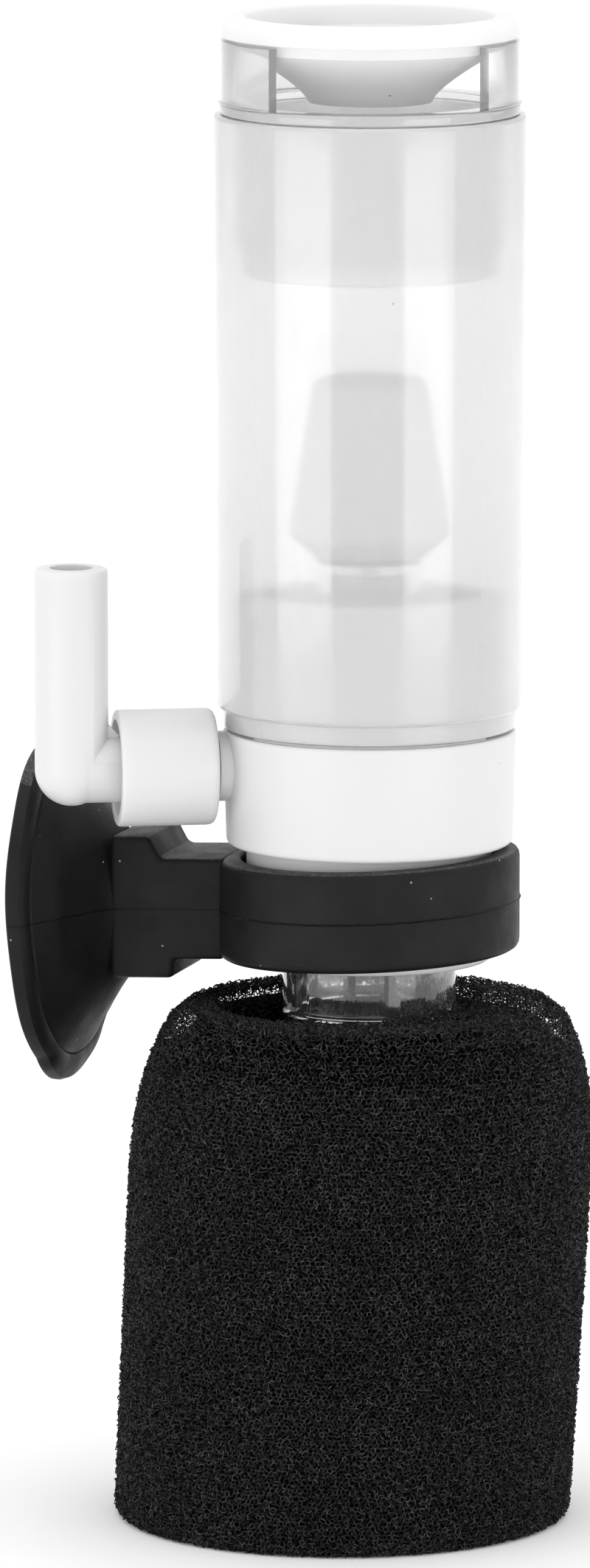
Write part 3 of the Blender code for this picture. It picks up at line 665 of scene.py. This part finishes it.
def make_air_stone(material):
    low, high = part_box("air_stone")
    belly_z = low.z + STONE_BELLY_HEIGHT
    pin_r = STEM_PIN_R + 0.3 * MM
    pin_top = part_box("stone_stem")[1].z + 0.3 * MM
    stone = turned("bubble_stone", filleted([
        (0, high.z, 0),
        (STONE_TOP_R, high.z, 1.1 * MM),
        (high.x, belly_z + 0.2 * MM, 0.6 * MM),
        (STONE_FOOT_R, low.z, 0.3 * MM),
        (pin_r, low.z, 0),
        (pin_r, pin_top, 0),
        (0, pin_top, 0),
    ]), 96, closed=False)
    return finished(stone, material, "stone", "porous_stone", "air_stone")


def make_coupling(material):
    bore = BOSS_PIN_R + 0.3 * MM
    leg_bore = PIPE_R + 0.3 * MM
    coupling = turned("inlet_sleeve", filleted([
        (bore, COUPLING_START, 0.2 * MM),
        (COUPLING_R, COUPLING_START, 0.8 * MM),
        (COUPLING_R, COUPLING_END, 0.35 * MM),
        (4.6 * MM, COUPLING_END, 0.15 * MM),
        (4.6 * MM, COUPLING_END - COUPLING_RECESS, 0.1 * MM),
        (leg_bore, COUPLING_END - COUPLING_RECESS, 0.1 * MM),
        (leg_bore, COUPLING_SEAT, 0),
        (bore, COUPLING_SEAT, 0),
    ]), 120)
    placed(coupling, inlet_place())
    return finished(coupling, material, "coupling", "white_plastic", "inlet_coupling")


def make_elbow(material):
    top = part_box("air_elbow")[1].z
    leg = turned("air_pipe", filleted([
        (0, ELBOW_CORNER, 0),
        (LEG_R, ELBOW_CORNER, 0),
        (LEG_R, RING_SEAT + RING_GROOVE / 2, 0),
        (RING_GROOVE_R, RING_SEAT + RING_GROOVE / 2, 0),
        (RING_GROOVE_R, RING_SEAT - RING_GROOVE / 2, 0),
        (LEG_R, RING_SEAT - RING_GROOVE / 2, 0),
        (LEG_R, LEG_START, 0.3 * MM),
        (0, LEG_START, 0),
    ]), 96, closed=False)
    placed(leg, inlet_place())
    corner = inlet_place() @ Vector((0, 0, ELBOW_CORNER))
    outline = [(0, top), (PIPE_R - 0.4 * MM, top)]
    outline += [(PIPE_R - 0.1 * MM, top - 0.12 * MM), (PIPE_R, top - 0.4 * MM)]
    outline += [(PIPE_R * math.cos(math.radians(a)), corner.z - PIPE_R * math.sin(math.radians(a)))
                for a in range(0, 90, 6)] + [(0, corner.z - PIPE_R)]
    pipe = turned("upright", outline, 96, closed=False)
    placed(pipe, Matrix.Translation((corner.x, corner.y, 0)))
    half = Vector((0.7, 1.1, 0.7)) * MM
    facet = block("facet", -half, half)
    turn = Matrix.Rotation(math.pi / 4, 4, "Y")
    placed(facet, inlet_place() @ Matrix.Translation((LEG_R, 0, ELBOW_CORNER - PIPE_R)) @ turn)
    combined(leg, "UNION", pipe, facet)
    along = placed(rod("leg_bore", PIPE_BORE_R, LEG_START - MM, ELBOW_CORNER, 48), inlet_place())
    upwards = rod("pipe_bore", PIPE_BORE_R, corner.z - MM, top + MM, 48)
    placed(upwards, Matrix.Translation((corner.x, corner.y, 0)))
    combined(leg, "DIFFERENCE", along, upwards)
    return finished(leg, material, "elbow", "white_plastic", "air_elbow")


def make_strainer(material):
    low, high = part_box("strainer_core")
    inner = high.x - CORE_WALL
    floor = low.z + CORE_WALL
    core = turned("strainer_tube", filleted([
        (0, floor, 0),
        (inner, floor, 0.3 * MM),
        (inner, high.z, 0.3 * MM),
        (high.x, high.z, 0.3 * MM),
        (high.x, low.z, 0.4 * MM),
        (0, low.z, 0),
    ]), 120, closed=False)
    bead_z = high.z - SLOT_TOP_DROP + BEAD_RISE
    bead = turned("core_bead", filleted([
        (high.x - 0.4 * MM, bead_z + 0.3 * MM, 0),
        (high.x + 0.15 * MM, bead_z + 0.3 * MM, 0.25 * MM),
        (high.x + 0.15 * MM, bead_z - 0.3 * MM, 0.25 * MM),
        (high.x - 0.4 * MM, bead_z - 0.3 * MM, 0),
    ]), 120)
    sector = wedges("bead_sector", BEAD_HALF_ANGLE, 2 * high.x, bead_z - MM, bead_z + MM, [BEAD_AZIMUTH])
    combined(bead, "INTERSECT", sector)
    combined(core, "UNION", bead)
    slot_top = high.z - SLOT_TOP_DROP
    slot_bottom = low.z + SLOT_BOTTOM_RISE
    middle = (slot_top + slot_bottom) / 2
    turns = [SLOT_TURN + math.tau * i / SLOT_COUNT for i in range(SLOT_COUNT)]
    for start, end in ((slot_bottom, middle - SLOT_BAND / 2), (middle + SLOT_BAND / 2, slot_top)):
        slots = block("slots", (inner - MM, -SLOT_WIDTH / 2, start),
                      (high.x + MM, SLOT_WIDTH / 2, end), turns)
        combined(core, "DIFFERENCE", slots)
    return finished(core, material, "strainer", "clear_plastic", "strainer_core")


# ---------------------------------------------------------------- rubber clip


def bell_section():
    """The suction cup's section as (radius, depth): flared back, thick lip, domed hollow."""
    flare_r = BELL_R - 1.9 * MM
    flare_depth = BELL_DEPTH - BELL_LIP - 0.9 * MM
    outline = [(0.0, BELL_ROOT)]
    for t in np.linspace(0, 1, 21):
        outline.append((BELL_ROOT_R + (flare_r - BELL_ROOT_R) * t,
                        BELL_ROOT + (flare_depth - BELL_ROOT) * t**FLARE_POWER))
    outline += [
        (BELL_R - 1.75 * MM, BELL_DEPTH - BELL_LIP - 0.62 * MM),
        (BELL_R - 1.6 * MM, BELL_DEPTH - BELL_LIP - 0.75 * MM),
        (BELL_R - 1.3 * MM, BELL_DEPTH - BELL_LIP - 0.78 * MM),
        (BELL_R - 0.5 * MM, BELL_DEPTH - BELL_LIP - 0.45 * MM),
        (BELL_R - 0.1 * MM, BELL_DEPTH - BELL_LIP),
        (BELL_R, BELL_DEPTH - BELL_LIP / 2),
        (BELL_R - 0.05 * MM, BELL_DEPTH - 0.15 * MM),
        (BELL_R - 0.25 * MM, BELL_DEPTH),
    ]
    mouth = BELL_R - BELL_RIM
    for i in range(16):
        a = math.radians(90 - 6 * i)
        outline.append((mouth * math.sin(a), BELL_DEPTH - (BELL_DEPTH - BELL_DOME) * math.cos(a)))
    return outline


def arm_block():
    """The arm with its taller end, which is flush with it in front and behind."""
    outline = [
        (-ARM_START, ARM_HEIGHT / 2),
        (-PAD_UPPER_START, ARM_HEIGHT / 2),
        (-PAD_UPPER_START - PAD_SLANT, PAD_TOP),
        (-PAD_END, PAD_TOP),
        (-PAD_END, -PAD_BOTTOM),
        (-PAD_START, -PAD_BOTTOM),
        (-PAD_START, -ARM_HEIGHT / 2),
        (-ARM_START, -ARM_HEIGHT / 2),
    ]
    bm = bmesh.new()
    front = bm.faces.new([bm.verts.new((x, -ARM_WIDTH / 2, z)) for x, z in outline])
    swept = bmesh.ops.extrude_face_region(bm, geom=[front])["geom"]
    back = [item for item in swept if isinstance(item, bmesh.types.BMVert)]
    bmesh.ops.translate(bm, verts=back, vec=(0, ARM_WIDTH, 0))
    bmesh.ops.recalc_face_normals(bm, faces=bm.faces)
    return add_object("arm", mesh_of("arm", bm))


def make_clip(material):
    half = CLIP_HEIGHT / 2
    nub = 0.12 * MM
    ring = turned("suction_clip_body", filleted([
        (CLIP_BORE_R, half, 0.3 * MM),
        (CLIP_R, half, 0.9 * MM),
        (CLIP_R, nub, 0),
        (CLIP_R + nub, 0, 0),
        (CLIP_R, -nub, 0),
        (CLIP_R, -half, 0.9 * MM),
        (CLIP_BORE_R, -half, 0.3 * MM),
    ]))
    arm = rounded(arm_block(), ARM_EDGE)
    outwards = Matrix.Rotation(-math.pi / 2, 4, "Y")
    bell = turned("bell", bell_section(), closed=False)
    warp_bell(bell.data)
    placed(bell, Matrix.Translation((-BELL_START, 0, 0)) @ outwards @ Matrix.Rotation(BELL_DROOP, 4, "Y"))
    combined(ring, "UNION", arm, bell)
    for vertex in ring.data.vertices:
        vertex.co.z += CLIP_Z + CLIP_SLOPE * vertex.co.x
    return finished(ring, material, "clip", "black_rubber", "suction_clip", angle=30)


def warp_bell(mesh):
    """Gives the cup's rim its slight waves and the flat tab at its foot, and narrows its root to the
    arm's width. Local +X points up."""
    for vertex in mesh.vertices:
        co = vertex.co
        radius = math.hypot(co.x, co.y)
        share = max(0.0, (radius - BELL_ROOT_R) / (BELL_R - BELL_ROOT_R))
        angle = math.atan2(co.y, -co.x)  # 0 at the foot
        wave = 0.3 * math.cos(2 * angle + 0.4) + 0.16 * math.cos(3 * angle - 1.1) + 0.07 * math.cos(7 * angle)
        co.z += wave * share**2 * MM
        tab = max(0.0, 1 - (angle / 0.53) ** 2) ** 0.35 * max(0.0, share * 6 - 5)
        co.x -= 0.8 * tab * MM
        if co.z < BELL_DEPTH / 2:
            co.y *= BELL_ROOT_WIDTH + (1 - BELL_ROOT_WIDTH) * min(1.0, share * 2)


# ---------------------------------------------------------------- sponge


def sponge_profile():
    """The sponge's skin as rows of (shift to the leaning side, radius, height), from its foot over
    its rim and down into its mouth."""
    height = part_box("sponge")[1].z
    rows = [(LEAN, radius, 0.0) for radius in np.linspace(1.5 * MM, SPONGE_FOOT_R - SPONGE_EDGE, 20)]
    for a in np.radians((-70, -45, -20, 0)):
        z = SPONGE_EDGE * (1 + math.sin(a))
        rows.append((LEAN * (1 - z / height), SPONGE_FOOT_R - SPONGE_EDGE * (1 - math.cos(a)), z))
    for z in np.linspace(1.6 * MM, height - SPONGE_TOP_EDGE, 60):
        radius = SPONGE_FOOT_R + (SPONGE_R - SPONGE_FOOT_R) * min(z / SHOULDER_Z, 1)
        radius -= SHOULDER_DROP * max(0, (z - SHOULDER_Z) / (height - SHOULDER_Z)) ** 3
        rows.append((LEAN * (1 - z / height), radius, z))
    top = SPONGE_R - SHOULDER_DROP - SPONGE_TOP_EDGE
    for a in np.radians((20, 45, 70, 90)):
        rows.append((0.0, top + SPONGE_TOP_EDGE * math.cos(a), height - SPONGE_TOP_EDGE * (1 - math.sin(a))))
    for t in np.linspace(0.1, 1, 10):
        rows.append((MOUTH_SHIFT * t, top + (MOUTH_R - top) * t, height))
    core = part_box("strainer_core")[1].x + 0.3 * MM
    for t in np.linspace(0.08, 1, 14):
        rows.append((MOUTH_SHIFT * (1 - t), MOUTH_R + (core - MOUTH_R) * t, height - MOUTH_DEPTH * t))
    return np.array(rows)


class Skin:
    """The sponge's skin: a point for each turn round it and each distance along its profile."""

    def __init__(self):
        self.rows = sponge_profile()
        steps = np.linalg.norm(np.diff(self.rows, axis=0), axis=1)
        self.along = np.concatenate([[0], np.cumsum(steps)])
        self.length = self.along[-1]
        heights = self.rows[:, 2]
        top = heights.max()
        self.rim_start = float(np.interp(top - RIM_OUTER_DROP, heights[:SIDE_ROWS], self.along[:SIDE_ROWS]))
        self.rim_end = float(self.along[np.argmax(heights[SIDE_ROWS:] < top - RIM_INNER_DROP) + SIDE_ROWS])

    def radius(self, along):
        return np.interp(along, self.along, self.rows[:, 1])

    def sunk(self, along):
        """How far the dark body of painted shade lies under the skin."""
        outside = np.clip((along - self.rim_start) / RIM_FADE, 0, 1)
        inside = np.clip((self.rim_end - along) / RIM_FADE, 0, 1)
        return SPONGE_SUNK + RIM_SUNK * outside * inside

    def point(self, turn, along):
        shift, radius, z = (np.interp(along, self.along, self.rows[:, i]) for i in range(3))
        x = shift * math.cos(LEAN_AZIMUTH) + radius * np.cos(turn)
        y = shift * math.sin(LEAN_AZIMUTH) + radius * np.sin(turn)
        return np.stack([x, y, z], -1)

    def normal(self, turn, along):
        up = self.point(turn, along + 0.4 * MM) - self.point(turn, along - 0.4 * MM)
        sideways = self.point(turn + 0.01, along) - self.point(turn - 0.01, along)
        normal = np.cross(sideways, up)
        return normal / np.linalg.norm(normal, axis=-1, keepdims=True)


def make_sponge_shade_body(skin, material):
    """The dark body under the struts, a near-black sheet of painted shade for the foam's shaded depth: the
    skin, sunk by about a cell, and by more in the rim.
    """
    rings = 220
    turns = np.linspace(0, math.tau, rings, endpoint=False)
    alongs = np.linspace(0, skin.length, 150)
    turn, along = (grid.ravel() for grid in np.meshgrid(turns, alongs))
    points = skin.point(turn, along) - skin.normal(turn, along) * skin.sunk(along)[:, None]
    points[:, 2] = np.maximum(points[:, 2], 0.4 * MM)
    bm = bmesh.new()
    verts = [bm.verts.new(point) for point in points]
    for row in range(len(alongs) - 1):
        for i in range(rings):
            j = (i + 1) % rings
            bm.faces.new([verts[row * rings + i], verts[row * rings + j], verts[(row + 1) * rings + j],
                          verts[(row + 1) * rings + i]])
    for row in (0, len(alongs) - 1):
        bm.faces.new(verts[row * rings:(row + 1) * rings])
    bmesh.ops.recalc_face_normals(bm, faces=bm.faces)
    body = add_object("sponge_shade_body", mesh_of("sponge_shade_body", bm))
    finished(body, material, "foam", "black_foam", "sponge", angle=180)
    return body


def cell_net(skin, random, start, end):
    """A net of foam cells over a stretch of the skin: its knots as (turn, along), and the pairs of
    knots that struts join. Rings of scattered points are joined into triangles. A knot lies in each
    triangle, and a strut crosses each side that two triangles share."""
    rings = []
    for along in np.arange(start, end, CELL * 0.9):
        count = max(6, round(math.tau * float(skin.radius(along)) / CELL))
        turns = (np.arange(count) + random.uniform(-0.42, 0.42, count) + random.uniform()) * math.tau / count
        rings.append((turns, along + random.uniform(-0.45, 0.45, count) * CELL))
    knots, pairs, shared = [], [], {}
    for ring in range(len(rings) - 1):
        (low, low_along), (high, high_along) = rings[ring], rings[ring + 1]
        first = len(knots)
        offset = int(np.argmin(np.abs((high - low[0] + math.pi) % math.tau - math.pi)))
        laps = round((low[0] - high[offset]) / math.tau)
        i = j = 0
        while i < len(low) or j < len(high):
            a, b = i % len(low), (i + 1) % len(low)
            c, d = (j + offset) % len(high), (j + offset + 1) % len(high)
            low_turns = [low[a] + math.tau * (i // len(low)), low[b] + math.tau * ((i + 1) // len(low))]
            high_turns = [high[c] + math.tau * ((j + offset) // len(high) + laps),
                          high[d] + math.tau * ((j + offset + 1) // len(high) + laps)]
            step_low = j >= len(high) or (i < len(low) and sum(low_turns) <= sum(high_turns))
            if step_low:
                knot = (sum(low_turns) + high_turns[0], low_along[a] + low_along[b] + high_along[c])
                side = (ring, a)
                i += 1
            else:
                knot = (low_turns[0] + sum(high_turns), low_along[a] + high_along[c] + high_along[d])
                side = (ring + 1, c)
                j += 1
            shared.setdefault(side, []).append(len(knots))
            if len(knots) > first:
                pairs.append((len(knots) - 1, len(knots)))
            knots.append((knot[0] / 3, knot[1] / 3))
        pairs.append((len(knots) - 1, first))
    pairs += [tuple(both) for both in shared.values() if len(both) == 2]
    return np.array(knots), np.array(pairs)


def strut_mesh(name, starts, ends, random):
    """Folded strips, as struts between pairs of points."""
    along = ends - starts
    along /= np.linalg.norm(along, axis=1, keepdims=True)
    across = np.cross(along, random.normal(size=along.shape))
    across /= np.linalg.norm(across, axis=1, keepdims=True)
    beside = np.cross(along, across)
    radius = random.uniform(*STRUT_R, (len(starts), 1))
    corners = []
    for end in (starts, ends):
        for a in (0, math.tau / 3, 2 * math.tau / 3):
            corners.append(end + radius * (across * math.cos(a) + beside * math.sin(a)))
    corners = np.stack(corners, 1).reshape(-1, 3)
    first = np.arange(len(starts)) * 6
    faces = np.stack([np.stack([first + k, first + (k + 1) % 3, first + 3 + (k + 1) % 3, first + 3 + k], 1)
                      for k in range(2)], 1).reshape(-1, 4)
    mesh = bpy.data.meshes.new(name)
    mesh.vertices.add(len(corners))
    mesh.vertices.foreach_set("co", corners.ravel())
    mesh.loops.add(faces.size)
    mesh.loops.foreach_set("vertex_index", faces.ravel().astype(np.int32))
    mesh.polygons.add(len(faces))
    mesh.polygons.foreach_set("loop_start", np.arange(len(faces), dtype=np.int32) * 4)
    mesh.update(calc_edges=True)
    return mesh


def strut_layer(skin, random, start, end, depth, reach):
    """One layer of struts under a stretch of the skin, and struts that reach inwards from it."""
    knots, pairs = cell_net(skin, random, start, end)
    normals = skin.normal(knots[:, 0], knots[:, 1])
    count = len(knots)
    points = skin.point(knots[:, 0], knots[:, 1]) - normals * depth
    points += normals * random.uniform(-0.2, 0.25, (count, 1)) * MM + random.normal(0, 0.05, (count, 3)) * MM
    inner = points - normals * reach + random.normal(0, 0.16, (count, 3)) * MM
    pairs = pairs[random.uniform(size=len(pairs)) < STRUT_SHARE]
    sunk = random.uniform(size=count) < 0.4
    starts = np.concatenate([points[pairs[:, 0]], points[sunk]])
    ends = np.concatenate([points[pairs[:, 1]], inner[sunk]])
    lengths = np.linalg.norm(ends - starts, axis=1)
    kept = (lengths > 0.04 * MM) & (lengths < LONGEST_STRUT)
    return starts[kept], ends[kept]


def make_struts(skin, material):
    """The struts of the outer cells, and of the cells below them where the rim isn't seen through."""
    random = np.random.default_rng(11)
    layers = [
        strut_layer(skin, random, 0.6 * MM, skin.length - 0.3 * MM, 0, STRUT_REACH),
        strut_layer(skin, random, 0.6 * MM, skin.rim_start, SECOND_LAYER, STRUT_REACH),
    ]
    starts, ends = (np.concatenate(points) for points in zip(*layers))
    starts[:, 2] = np.maximum(starts[:, 2], 0.08 * MM)
    ends[:, 2] = np.maximum(ends[:, 2], 0.08 * MM)
    order = np.argsort(starts[:, 2], kind="stable")
    for i, band in enumerate(np.array_split(order, STRUT_PIECES)):
        name = f"foam_struts_{i + 1}"
        piece = add_object(name, strut_mesh(name, starts[band], ends[band], random))
        finished(piece, material, "foam", "black_foam", angle=180)


# ---------------------------------------------------------------- stage


def make_floor():
    bm = bmesh.new()
    bmesh.ops.create_circle(bm, cap_ends=True, segments=96, radius=4.0)
    floor = add_object("floor", mesh_of("floor", bm))
    material, tree, shader = new_material("pale_floor", {"Roughness": 0.9, "Specular IOR Level": 0.1})
    colour = mixed(tree, noise(tree, 0.4), grey(0.93), grey(0.95))
    tree.links.new(colour, shader.inputs["Base Color"])
    floor.data.materials.append(material)


def soft_light(name, direction, place, size, radiance):
    """A soft box at a place, which shines against a direction."""
    data = bpy.data.lights.new(name, "AREA")
    data.shape = "RECTANGLE"
    data.size, data.size_y = size
    data.energy = radiance * math.pi * size[0] * size[1]
    light = bpy.data.objects.new(name, data)
    bpy.context.scene.collection.objects.link(light)
    light.location = place
    light.rotation_euler = direction.to_track_quat("Z", "Y").to_euler()
    light.visible_camera = False


def standing_light(name, turn, half_width, radiance):
    """A tall soft box that stands on the floor. turn and half_width are angles round the object,
    from the camera's side to the right."""
    azimuth = VIEW_AZIMUTH - math.pi / 2 + math.radians(turn)
    direction = Vector((math.cos(azimuth), math.sin(azimuth), 0))
    width = 2 * BOX_DISTANCE * math.tan(math.radians(half_width))
    place = direction * BOX_DISTANCE + Vector((0, 0, BOX_HEIGHT / 2))
    soft_light(name, direction, place, (width, BOX_HEIGHT), radiance)


def make_lights():
    world = bpy.data.worlds.new("studio")
    bpy.context.scene.world = world
    world.use_nodes = True
    background = world.node_tree.nodes["Background"]
    background.inputs["Color"].default_value = (1, 1, 1, 1)
    background.inputs["Strength"].default_value = WORLD_STRENGTH
    standing_light("left_box", -51, 22, BOX_RADIANCE)
    standing_light("right_box", 44, 19, BOX_RADIANCE)
    size = (2 * CEILING_Z, 2 * CEILING_Z)
    soft_light("ceiling", Vector((0, 0, 1)), (0, 0, CEILING_Z), size, CEILING_RADIANCE)


# ---------------------------------------------------------------- build

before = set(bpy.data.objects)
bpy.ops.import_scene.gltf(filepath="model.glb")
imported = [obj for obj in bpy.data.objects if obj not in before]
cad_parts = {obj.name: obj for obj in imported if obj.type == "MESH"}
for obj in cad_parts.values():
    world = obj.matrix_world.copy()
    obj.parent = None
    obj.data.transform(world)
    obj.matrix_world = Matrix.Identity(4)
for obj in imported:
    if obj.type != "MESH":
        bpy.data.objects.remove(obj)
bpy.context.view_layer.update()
make_camera()

white = white_plastic("white_plastic", 0.69)
# painted light: the crown's white plastic is made lighter than the others' to lift its shaded funnel
# underside
crown_white_lightened = white_plastic("crown_plastic_lightened", 0.77, 6 * MM)
riser_white = white_plastic("riser_plastic", 0.82)
milky = milky_plastic("frosted_clear", 0.98, 0.72, (0.12, 0.17))
collar_milky = milky_plastic("collar_plastic", 0.98, 0.85, (0.12, 0.17))
clear = milky_plastic("clear_plastic", 0.85, 0.97, (0.03, 0.07))
rubber = rubber_material()
# painted shade: near-black colour for the sheet under the struts, standing in for the foam's shaded depth
foam_shade_body = foam_material("foam_shade_body", 0.001, 0.003, 0.03)
foam_strut = foam_material("foam_strut", 0.006, 0.07, 0.25)

make_clear_tube(milky)
make_outlet_cage(collar_milky)
make_deflector_cap(crown_white_lightened)
make_base_cup(white)
make_riser(riser_white)
make_stone_stem(clear)
make_air_stone(stone_material())
make_coupling(white)
make_elbow(white)
make_strainer(clear)
make_clip(rubber)
sponge_skin = Skin()
make_sponge_shade_body(sponge_skin, foam_shade_body)
make_struts(sponge_skin, foam_strut)

seal_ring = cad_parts["elbow_seal_ring"]
for slot in seal_ring.material_slots:
    slot.material = rubber

make_floor()
make_lights()
bpy.context.scene.view_settings.view_transform = "Standard"
